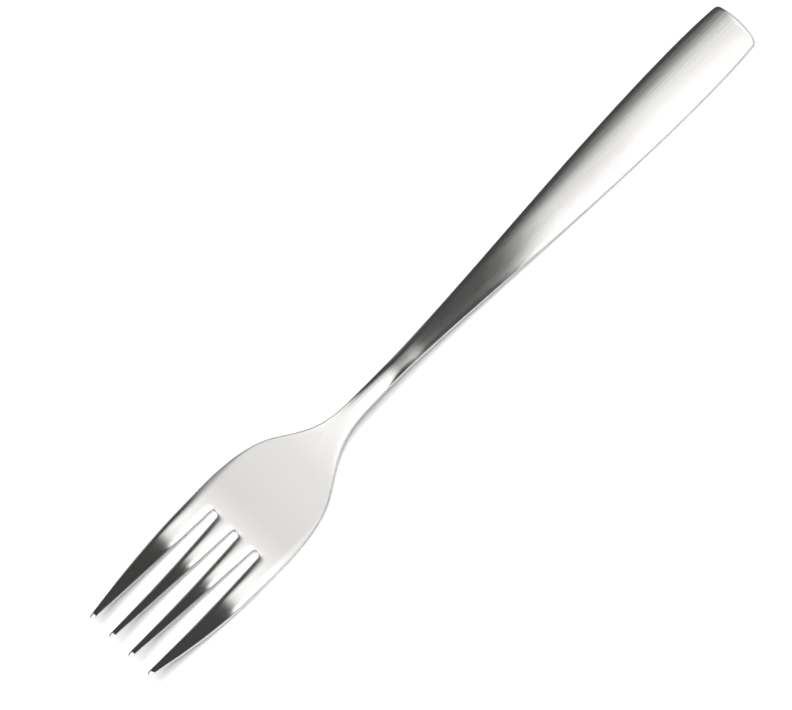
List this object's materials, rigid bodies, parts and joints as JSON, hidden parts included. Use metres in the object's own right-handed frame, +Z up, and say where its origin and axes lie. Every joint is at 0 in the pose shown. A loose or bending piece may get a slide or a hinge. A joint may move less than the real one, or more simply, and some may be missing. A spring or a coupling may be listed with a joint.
{
  "type": "table fork",
  "caption": "Stainless table fork with slim tapered tines, a broad flat head, a narrow neck and a crowned handle that widens to a softly squared end.",
  "frame": {"origin": "on the surface that the fork lies on, under the middle of its length and on its line of symmetry", "axes": "+X from the tine tips to the handle end, +Y across the fork, +Z up, the way the food side faces"},
  "size_m": [0.1999, 0.0264, 0.0097],
  "materials": {
    "satin_steel": "stainless steel, brushed satin along the handle"
  },
  "bodies": {
    "root": {"fork": "satin_steel"}
  },
  "joints": []
}
